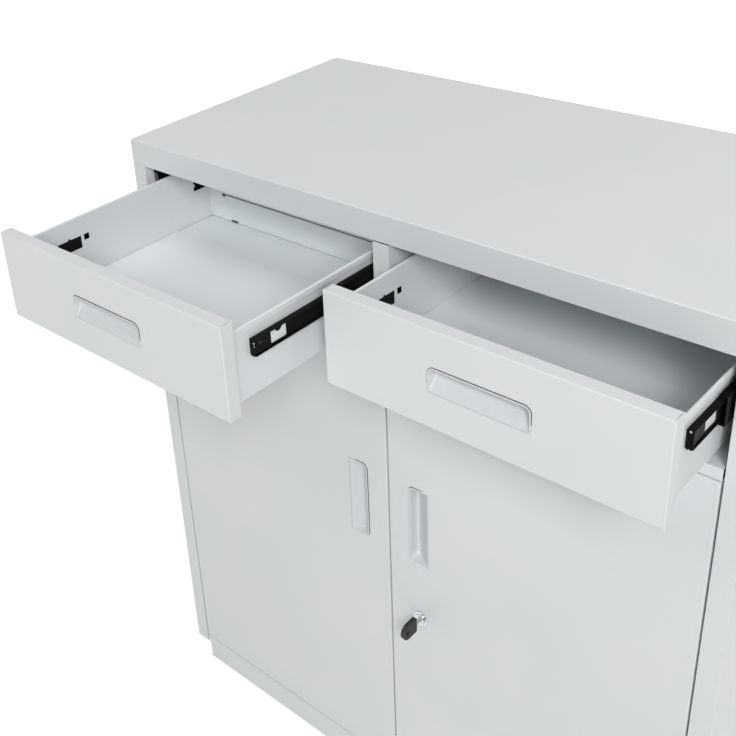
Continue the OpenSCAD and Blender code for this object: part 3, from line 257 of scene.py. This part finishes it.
# All four are one colour through and through, with the grain of the mould on their skin.
mouldSkin = {"detail": 2.0, "smoother": 0.85, "rougher": 1.15, "strength": 0.5}
glossyAbs, mouldedNylon, texturedAbs, blackRubberAndShade = [
    grainedMaterial(name, look, mouldSkin, {"IOR": look["ior"]}) for name, look in plasticLooks.items()]
print("materials ready")


# Sheet metal: every cut edge is rounded, as the coat rounds it.
sheetPieces = {
    "cabinet": {"top_cap": 0.5, "left_side_panel": 0.4, "right_side_panel": 0.4, "bottom_panel": 0.3,
                "base_frame": 0.5, "mid_shelf": 0.4, "drawer_partition": 0.35},
    "left_drawer": {"left_drawer_front": 0.3, "left_drawer_inner_front": 0.3,
                    "left_drawer_left_side": 0.3, "left_drawer_right_side": 0.3},
    "right_drawer": {"right_drawer_front": 0.3, "right_drawer_inner_front": 0.3,
                     "right_drawer_left_side": 0.3, "right_drawer_right_side": 0.3},
    "left_door": {"left_door_panel": 0.35, "left_door_stiffener": 0.3},
    "right_door": {"right_door_panel": 0.35, "right_door_stiffener": 0.3},
}
plainEdge = 0.3
backWallTop, backWallRise = 1.0, 3.0  # the top millimetre of the drawers' back walls is drawn up to the side walls


def addCoated(part, mesh, coat, body, slotName, width):
    addPiece(part + ".sheet", mesh, coat, body, slotName, part, bevelWidth=width * mm)


for body, parts in sheetPieces.items():
    for part, width in parts.items():
        addCoated(part, cadCopy(part), whiteCoat, body, "white_powder_coat", width)
# the inner parts take the darker coat, painted shade
for part in ("shelf_uprights", "adjustable_shelf"):
    addCoated(part, cadCopy(part), insideCoat, "cabinet", "inner_powder_coat", plainEdge)
# the drawers' floors and back walls take the lighter coat, painted light
for body in ("left_drawer", "right_drawer"):
    floor, wall = body + "_floor", body + "_back"
    addCoated(floor, cadCopy(floor), boxCoat, body, "white_powder_coat", plainEdge)
    mesh, nearTop = cadCopy(wall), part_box(wall)[1][2] - backWallTop * mm
    edge = [vert for vert in mesh.verts if vert.co.z > nearTop]
    bmesh.ops.translate(mesh, verts=edge, vec=(0, 0, backWallRise * mm))
    addCoated(wall, mesh, boxCoat, body, "white_powder_coat", plainEdge)
for part in ("left_runner_bracket", "right_runner_bracket"):
    addCoated(part, cadCopy(part), blackCoat, "cabinet", "black_slide_coat", plainEdge)
print("sheet metal ready")


# Handle cups: a shallow moulded scoop whose rim fades away along its shallow edge.
handleLook = {"length": 110.0, "height": 29.0, "rimWidth": 3.0, "rimHeight": 1.0, "rimEnd": 0.15,
              "depth": 13.0, "step": 4.0, "cornerRadius": 7.5, "cornerSteps": 12, "cornerClear": 7,
              "bottomSteps": 7, "topSteps": 11, "slices": 24, "paintedShadeFrom": -0.3, "wall": 0.7, "blend": 0.2,
              "gap": 0.6}


def handleMesh(look):  # along X, deep edge towards +Z, outwards towards -Y, all in millimetres
    halfL, halfH, gap = look["length"] / 2, look["height"] / 2, look["gap"]
    radius, endX, topZ = look["cornerRadius"] + gap, halfL + gap, halfH + gap
    bottom, top = look["bottomSteps"], look["topSteps"]
    heights = range(look["cornerClear"], int(halfH + topZ - radius))  # off the sharp corner
    side = [(endX, z - halfH) for z in heights]
    side += [(endX - radius + b, topZ - radius + a) for a, b in quarterArc(radius, look["cornerSteps"])]
    outline = [(step * endX / bottom, -halfH) for step in range(-bottom, bottom + 1)] + side
    outline += [(step * (endX - radius) / top, topZ) for step in range(top - 1, -top, -1)]
    outline += [(-x, z) for x, z in reversed(side)]
    mesh = bmesh.new()
    face = mesh.faces.new([mesh.verts.new((x, 0, z)) for x, z in outline])
    face.normal_update()

    def rimAt(z):  # height of the rim above the sheet, highest along the deep edge
        return look["rimEnd"] + (look["rimHeight"] - look["rimEnd"]) * (z + halfH) / (2 * halfH)

    def floorAt(z):  # depth of the scoop's floor behind the sheet: a slope that rounds off into a flat strip
        low, flat = look["rimWidth"] - halfH, halfH - look["rimWidth"] - look["step"]
        rise = (z - low) / (flat - low)
        share = min(1, max(0, 0.5 + (1 - rise) / (2 * look["blend"])))
        return look["depth"] * max(0, 1 + (rise - 1) * share - look["blend"] * share * (1 - share))

    rings = [  # how far in from the last ring, share of the rim's height, share of the scoop's depth
        (gap, 0.75, 0), (0.15, 0.93, 0), (0.2, 1, 0), (1.3, 1, 0), (0.25, 0.93, 0), (0.2, 0.6, 0), (0.2, 0, 0.04),
        (0.2, 0, 0.35), (0.2, 0, 0.7), (0.3, 0, 0.9), (0.6, 0, 0.97), (1.0, 0, 1)]
    skirt = []
    for inset, rim, fall in rings:
        around = bmesh.ops.inset_region(mesh, faces=[face], thickness=inset, depth=0, use_even_offset=True,
                                         use_boundary=True)["faces"]
        skirt = skirt or around
        for vert in face.verts:
            vert.co.y = floorAt(vert.co.z) * fall - rimAt(vert.co.z) * rim
    face.material_index = 1
    for step in range(1, look["slices"]):
        floor = [f for f in mesh.faces if f.material_index]
        geom = floor + list({e for f in floor for e in f.edges}) + list({v for f in floor for v in f.verts})
        bmesh.ops.bisect_plane(mesh, geom=geom, plane_co=(0, 0, step - look["slices"] / 2),
                               plane_no=(0, 0, 1))
    for part in [f for f in mesh.faces if f.material_index]:
        for vert in part.verts:
            vert.co.y = floorAt(vert.co.z)
        part.material_index = 0
    for part in skirt:  # painted shade: skirt faces under the raised rim, above the given height, take the black second material
        part.material_index = 1 if part.calc_center_median().z > look["paintedShadeFrom"] * halfH else 0
    bmesh.ops.recalc_face_normals(mesh, faces=mesh.faces)
    if sum(f.normal.y * f.calc_area() for f in mesh.faces) > 0:  # the shown face looks out of the sheet
        bmesh.ops.reverse_faces(mesh, faces=mesh.faces)
    return mesh


def placeHandle(name, body, place, turn, replaced):
    mesh = handleMesh(handleLook)
    bmesh.ops.transform(mesh, verts=mesh.verts, matrix=Matrix.Translation([c * mm for c in place])
                        @ Matrix.Rotation(radians(turn), 4, "Y") @ Matrix.Scale(mm, 4))
    piece = addPiece(name, mesh, glossyAbs, body, "handle_insert", replaced, angle=50)
    piece.data.materials.append(blackRubberAndShade)  # the second material paints the shade in the gap under the rim
    wall = piece.modifiers.new("wall", "SOLIDIFY")
    wall.thickness, wall.offset = handleLook["wall"] * mm, -1
    return piece


cabinetFront = -200.0
# The two bays: where the middle of each is, and how far its drawer is out.
bays = {"left": {"x": -194.25, "open": 221.0}, "right": {"x": 194.25, "open": 109.0}}
handleZ = 809.5
doorHandle = {"x": 45.0, "z": 509.0}
for side, bay in bays.items():
    placeHandle(f"{side}DrawerScoop", f"{side}_drawer", (bay["x"], cabinetFront - bay["open"], handleZ), 0,
                f"{side}_drawer_handle")
for side, sign in (("left", -1), ("right", 1)):
    placeHandle(f"{side}DoorScoop", f"{side}_door", (sign * doorHandle["x"], cabinetFront, doorHandle["z"]),
                -90 * sign, f"{side}_door_handle")
print("handles ready")


# Folded corners and spot welds of the drawer fronts.
frontLook = {"halfWidth": 180.25, "top": 863.5, "bottom": 755.5, "depth": 16.0, "seamIn": 1.5,
             "seamWidth": 0.35, "seamRise": 0.02, "seamEnds": (3.0, 14.0), "weldRadius": 2.6, "weldRise": 0.06,
             "weldRim": 0.8, "weldDip": 0.05, "weldTaper": 0.75, "weldSegments": 24, "welds": (14.5, 93.5)}


def addSeams(name, body, x, y, look):  # the slit where the top and side flanges of a folded front meet
    mesh = bmesh.new()
    for side in (-1, 1):
        seam = x + side * (look["halfWidth"] - look["seamIn"])
        for z in (look["top"], look["bottom"]):
            low = Vector((seam - look["seamWidth"] / 2, y + look["seamEnds"][0], z - look["seamRise"]))
            high = Vector((seam + look["seamWidth"] / 2, y + look["seamEnds"][1], z + look["seamRise"]))
            addBlock(mesh, low * mm, high * mm)
    addPiece(name, mesh, blackRubberAndShade, body, "rubber_black", smooth=False)


def addWelds(name, body, x, y, look):  # faint rings that spot welding leaves on the side flanges
    mesh = bmesh.new()
    for side in (-1, 1):
        for z in look["welds"]:
            place = Vector((x + side * look["halfWidth"], y + look["depth"] / 2, look["bottom"] + z))
            verts = addDisc(mesh, place * mm, (side, 0, 0), look["weldRadius"] * mm, look["weldRise"] * mm,
                            look["weldSegments"], look["weldTaper"])
            faces = {face for vert in verts for face in vert.link_faces}
            top = max(faces, key=lambda face: face.calc_center_median().x * side)
            bmesh.ops.inset_region(mesh, faces=[top], thickness=look["weldRim"] * mm,
                                   depth=-look["weldDip"] * mm)
    addPiece(name, mesh, whiteCoat, body, "white_powder_coat", angle=60)


boxSeamLook = {"width": 0.45, "rise": 0.03, "fromBack": 62.0, "sheet": 1.2}


def addBoxSeams(name, body, look):  # the dark joints of the drawer floor with the back and the left side
    low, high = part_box(body + "_floor")
    width, rise, sheet = [look[key] * mm for key in ("width", "rise", "sheet")]
    wallX, wallY = low[0] + sheet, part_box(body + "_back")[0][1]
    mesh = bmesh.new()
    for corner, other in (((wallX, wallY - width), (high[0] - sheet, wallY)),
                          ((wallX, wallY - look["fromBack"] * mm), (wallX + width, wallY))):
        addBlock(mesh, (*corner, high[2] - rise), (*other, high[2] + rise))
    addPiece(name, mesh, blackRubberAndShade, body, "rubber_black", smooth=False)


for side, bay in bays.items():
    body, place = f"{side}_drawer", (bay["x"], cabinetFront - bay["open"])
    addBoxSeams(f"{side}BoxSeams", body, boxSeamLook)
    addSeams(f"{side}FrontSeams", body, *place, frontLook)
    addWelds(f"{side}FrontWelds", body, *place, frontLook)


# Ball-bearing slides.
slideZ = 818.0
wallHalf = 367.5 / 2
railStart = cabinetFront + 44.0


def onWalls(side):  # the two walls of a bay: where each one is, and which way is into the bay
    return [(bays[side]["x"] - wallHalf, 1), (bays[side]["x"] + wallHalf, -1)]


# Drawer rails: the release hole is in the right-hand rail of each drawer only, where it can be seen.
railLook = {"thickness": 12.7, "depth": 7.0, "height": 19.5, "steel": 1.2, "length": 250.0, "recess": 1.7,
            "webSteel": 1.0, "corner": 2.5, "arcSteps": 6, "notch": 1.2, "hole": (24.8, 47.4),
            "holeLow": -6.5, "holeCorner": 2.2, "tongue": 5.0, "shadeStrip": 60.0, "shadeStripLow": 12.6,
            "shadeStripSteel": 0.6, "padRim": 1.5, "padGap": 0.02, "gap": 0.05, "edge": 0.2, "stripEdge": 0.25}


def drawerRail(mesh, wall, inward, y, look, opened, tongued):  # two flanges, a folded end, a raised web
    def at(across, back, up):  # from the drawer's side, the rail's front end and the rail's middle
        return (wall + inward * (look["thickness"] - across), y + back, slideZ + up)

    half, steel, depth, length = look["height"] / 2, look["steel"], look["depth"], look["length"]
    for up in (half, steel - half):  # flanges
        addSheet(mesh, [at(0, steel, up), at(depth, steel, up), at(depth, length, up), at(0, length, up)],
                 (0, 0, -steel))
    corner, middle, notch = look["corner"], depth / 2, look["notch"]
    arc = quarterArc(corner, look["arcSteps"])
    end = [(0, half), (depth, half)]
    end += [(depth - corner + a, corner - b - half) for a, b in reversed(arc)]
    end += [(middle + notch / 2, -half), (middle + notch / 2, notch - half),
            (middle - notch / 2, notch - half), (middle - notch / 2, -half)]
    end += [(corner - a, corner - b - half) for a, b in arc]
    addSheet(mesh, [at(across, 0, up) for across, up in end], (0, steel, 0))

    inner, raised, steps = half - steel, depth - look["recess"], 2 * look["arcSteps"]
    web = [(steel, inner), (steel, -inner), (length, -inner), (length, inner)]
    plates = [web]
    if opened:  # the release hole reaches up to the flange, and a half-round tongue can hang into it
        (front, back), low, radius = look["hole"], look["holeLow"], look["holeCorner"]
        arc = quarterArc(radius, look["arcSteps"])
        web += [(back, inner)] + [(back - radius + a, low + radius - b) for a, b in reversed(arc)]
        web += [(front + radius - a, low + radius - b) for a, b in arc] + [(front, inner)]
        if tongued:
            plates.append([((front + back) / 2 + look["tongue"] * cos(turn * pi / steps),
                            inner - look["tongue"] * sin(turn * pi / steps)) for turn in range(steps + 1)])
    else:  # painted shade: a black strip against the drawer's wall that darkens the slot in it
        gap, far, low, high = look["gap"], look["shadeStrip"], -look["shadeStripLow"], half - 2 * look["gap"]
        addSheet(mesh, [at(gap, steel, low), at(gap, far, low), at(gap, far, high), at(gap, steel, high)],
                 (-inward * look["shadeStripSteel"], 0, 0))
    for plate in plates:
        addSheet(mesh, [at(raised, step, up) for step, up in plate], (inward * look["webSteel"], 0, 0))


def addPad(side, bay, look):  # the pad pressed out of the drawer's right wall, seen through the release hole
    wall, front, rim = onWalls(side)[1][0] - look["thickness"], railStart - bay["open"], look["padRim"]
    low = (wall + look["padGap"], front + look["hole"][0] - rim, slideZ + look["holeLow"] - rim)
    high = (wall + look["depth"] - look["recess"] - look["webSteel"] - look["gap"],
            front + look["hole"][1] + rim, slideZ + look["height"] / 2 - look["steel"] - look["gap"])
    mesh = bmesh.new()
    addBlock(mesh, [c * mm for c in low], [c * mm for c in high])
    addPiece(f"{side}RailPads", mesh, whiteCoat, f"{side}_drawer", "white_powder_coat", smooth=False)


for side, bay in bays.items():
    for part, body in ((f"{side}_outer_rails", "cabinet"), (f"{side}_middle_rails", f"{side}_middle_rails")):
        addPiece(part + ".strip", cadCopy(part), blackCoat, body, "black_slide_coat", part,
                 bevelWidth=railLook["stripEdge"] * mm)
    mesh = bmesh.new()
    for wall, inward in onWalls(side):
        drawerRail(mesh, wall, inward, railStart - bay["open"], railLook, inward < 0, side == "left")
    bmesh.ops.recalc_face_normals(mesh, faces=mesh.faces)
    addPiece(f"{side}_drawer_rails.strip", mesh, blackCoat, f"{side}_drawer", "black_slide_coat",
             f"{side}_drawer_rails", bevelWidth=railLook["edge"] * mm)
for side, bay in bays.items():
    addPad(side, bay, railLook)

# Bright rivet heads: across, up and radius. The black disc of painted shade in the fixing hole's mouth: back, up
# and radius.
rivetLook = {"left": ((6.0, 6.0, 0.95), (6.2, 2.8, 0.6)), "right": ((3.6, 8.3, 1.2),),
             "height": 0.4, "taper": 0.6, "segments": 20, "spot": (9.8, 2.8, 1.6), "lift": 0.02}


def addRivets(side, bay, look):  # bright rivet heads on the closed front end of each drawer rail, and a disc of painted shade in each fixing hole
    mesh, dark = bmesh.new(), bmesh.new()
    front, segments = railStart - bay["open"], look["segments"]
    for wall, inward in onWalls(side):
        for across, up, radius in look[side]:
            place = Vector((wall + inward * (railLook["thickness"] - across), front, slideZ + up))
            addDisc(mesh, place * mm, (0, -1, 0), radius * mm, look["height"] * mm, segments, look["taper"])
        back, up, radius = look["spot"]  # painted shade: a black disc in the mouth of the rail's fixing hole
        across = railLook["depth"] - railLook["recess"] - look["lift"]
        place = Vector((wall + inward * (railLook["thickness"] - across), front + back, slideZ + up))
        addDisc(dark, place * mm, (-inward, 0, 0), radius * mm, 2 * look["lift"] * mm, segments)
    addPiece(f"{side}RailRivets", mesh, ballSteel, f"{side}_drawer", "zinc_plated_steel", angle=30)
    addPiece(f"{side}RailHoleShade", dark, blackRubberAndShade, f"{side}_drawer", "rubber_black", smooth=False)


for side, bay in bays.items():
    addRivets(side, bay, rivetLook)
print("slides ready")


# Lock and key.
lockPieces = {  # CAD part: its look, what it rides on, its slot, its edge rounding in mm
    "lock_body": (chromePlate, "right_door", "chrome_plate", 0.6),
    "lock_plug": (chromePlate, "plug", "chrome_plate", 0.25),
    "key_blade": (nickelPlate, "key", "zinc_plated_steel", 0.25),
    "key_bow": (texturedAbs, "key", "key_bow_plastic", 0.9),
}
for part, (look, body, slotName, rounding) in lockPieces.items():
    addPiece(part + ".finished", cadCopy(part), look, body, slotName, part, bevelWidth=rounding * mm,
             segments=4, angle=40)
print("lock ready")


# CAD parts whose shape is right as it is.
finishes = {
    whiteCoat: ["back_panel"],
    ballSteel: ["left_outer_cages", "left_inner_cages", "right_outer_cages", "right_inner_cages"],
    zincPlate: ["shelf_clips", "carcass_screws", "slide_screws", "left_hinge_pins", "right_hinge_pins",
                "lock_nut", "rod_guides", "lock_cam", "upper_rod", "lower_rod"],
    blackRubberAndShade: ["door_bumpers"],
    mouldedNylon: ["pivot_washers"],
}
for material, names in finishes.items():
    for name in names:
        nodes[name].data.materials.clear()
        nodes[name].data.materials.append(material)


# Floor, background, lamps and camera.
stageLook = {"floor": "#E8E8E8", "size": 12, "near": 0.9, "far": 2.4, "liftNear": 0.55, "ambient": 0.19}
white = (1, 1, 1, 1)


def seesBackground(tree):  # 1 for the rays that show the white background
    path = addNode(tree, "LightPath").outputs
    seen = addNode(tree, "Math", {"operation": "MAXIMUM"},
                   {0: path["Is Camera Ray"], 1: path["Is Glossy Ray"]})
    return addNode(tree, "Math", {"operation": "MAXIMUM"},
                   {0: seen.outputs[0], 1: path["Is Transmission Ray"]}).outputs[0]


def buildFloor(look):
    mesh = bmesh.new()
    bmesh.ops.create_grid(mesh, x_segments=1, y_segments=1, size=look["size"])
    shape = bpy.data.meshes.new("floor")
    mesh.to_mesh(shape)
    mesh.free()
    floor = bpy.data.objects.new("floor", shape)
    bpy.context.scene.collection.objects.link(floor)
    material, tree = newMaterial("paintedStudioFloor")  # matt white paint that keeps the cabinet's soft shadow
    place = addNode(tree, "TexCoord").outputs["Object"]
    away = addNode(tree, "VectorMath", {"operation": "LENGTH"}, {0: place})
    lift = addNode(tree, "MapRange", {"interpolation_type": "SMOOTHSTEP", "From Min": look["near"],
                                      "From Max": look["far"], "To Min": look["liftNear"], "To Max": 1.0},
                   {"Value": away.outputs["Value"]})
    shown = addNode(tree, "Math", {"operation": "MULTIPLY"}, {0: lift.outputs[0], 1: seesBackground(tree)})
    glow = addNode(tree, "Emission", {"Color": white}, {"Strength": shown.outputs[0]})
    matt = addNode(tree, "BsdfDiffuse", {"Color": toLinear(look["floor"])})
    both = addNode(tree, "AddShader", links={0: matt.outputs[0], 1: glow.outputs[0]})
    addNode(tree, "OutputMaterial", links={"Surface": both.outputs[0]})
    floor.data.materials.append(material)


def buildWorld(look):
    world = bpy.data.worlds.new("studio")
    bpy.context.scene.world = world
    world.use_nodes = True
    tree = world.node_tree
    tree.nodes.clear()
    ambient = addNode(tree, "Background", {"Color": white, "Strength": look["ambient"]})
    shown = addNode(tree, "Background", {"Color": white, "Strength": 1.0})
    mix = addNode(tree, "MixShader",
                  links={0: seesBackground(tree), 1: ambient.outputs[0], 2: shown.outputs[0]})
    addNode(tree, "OutputWorld", links={"Surface": mix.outputs[0]})


lampTarget = Vector((0, -0.1, 0.75))


def addLamp(name, look):  # a square soft box that looks at the drawers from an azimuth and an elevation
    turn, rise = radians(look["azimuth"]), radians(look["elevation"])
    place = lampTarget + Vector((sin(turn) * cos(rise), -cos(turn) * cos(rise), sin(rise))) * look["distance"]
    data = bpy.data.lights.new(name, "AREA")
    data.shape, data.size, data.energy = "SQUARE", look["size"], look["watts"]
    lamp = bpy.data.objects.new(name, data)
    lamp.location = place
    lamp.rotation_euler = (lampTarget - place).to_track_quat("-Z", "Y").to_euler()
    bpy.context.scene.collection.objects.link(lamp)


lampPlaces = {
    "nearBox": {"azimuth": 45, "elevation": 29, "distance": 2.6, "size": 0.6, "watts": 12},
    "eyeBox": {"azimuth": 45, "elevation": 26, "distance": 6.5, "size": 1.2, "watts": 50},
    "rightBox": {"azimuth": 45, "elevation": 38, "distance": 8.0, "size": 1.6, "watts": 126},
    "middleBox": {"azimuth": 30, "elevation": 34, "distance": 8.0, "size": 1.6, "watts": 58},
    "frontBox": {"azimuth": -10, "elevation": 47, "distance": 6.5, "size": 2.0, "watts": 50},
    "topBox": {"azimuth": 0, "elevation": 86, "distance": 6.5, "size": 2.6, "watts": 62},
    "highBackBox": {"azimuth": 190, "elevation": 40, "distance": 6.5, "size": 2.6, "watts": 26},
    "lowBackBox": {"azimuth": 165, "elevation": 8, "distance": 6.5, "size": 2.6, "watts": 90},
}
buildFloor(stageLook)
buildWorld(stageLook)
for name, look in lampPlaces.items():
    addLamp(name, look)


# The camera was worked out from the cabinet's edges: focal length and middle in pixels of the square picture.
cameraLook = {"focal": 1097.47, "middle": (267.91, 269.59), "side": 736, "film": 36, "azimuth": 45.83,
              "elevation": 27.23, "roll": -4.79, "place": (0.65259, -1.00006, 1.37397)}


def buildCamera(look):
    data = bpy.data.cameras.new("photoCamera")
    data.sensor_width = look["film"]
    data.lens = look["focal"] * look["film"] / look["side"]
    data.shift_x = (look["side"] / 2 - look["middle"][0]) / look["side"]
    data.shift_y = (look["middle"][1] - look["side"] / 2) / look["side"]
    camera = bpy.data.objects.new("photoCamera", data)
    turn, rise, roll = [radians(look[key]) for key in ("azimuth", "elevation", "roll")]
    back = Vector((sin(turn) * cos(rise), -cos(turn) * cos(rise), sin(rise)))
    right = Vector((cos(turn), sin(turn), 0))
    up = back.cross(right)
    rightRolled = right * cos(roll) + up * sin(roll)
    upRolled = up * cos(roll) - right * sin(roll)
    facing = Matrix((rightRolled, upRolled, back)).transposed().to_4x4()
    camera.matrix_world = Matrix.Translation(look["place"]) @ facing
    bpy.context.scene.collection.objects.link(camera)
    bpy.context.scene.camera = camera


buildCamera(cameraLook)
bpy.context.scene.view_settings.view_transform = "Standard"
print("stage ready")
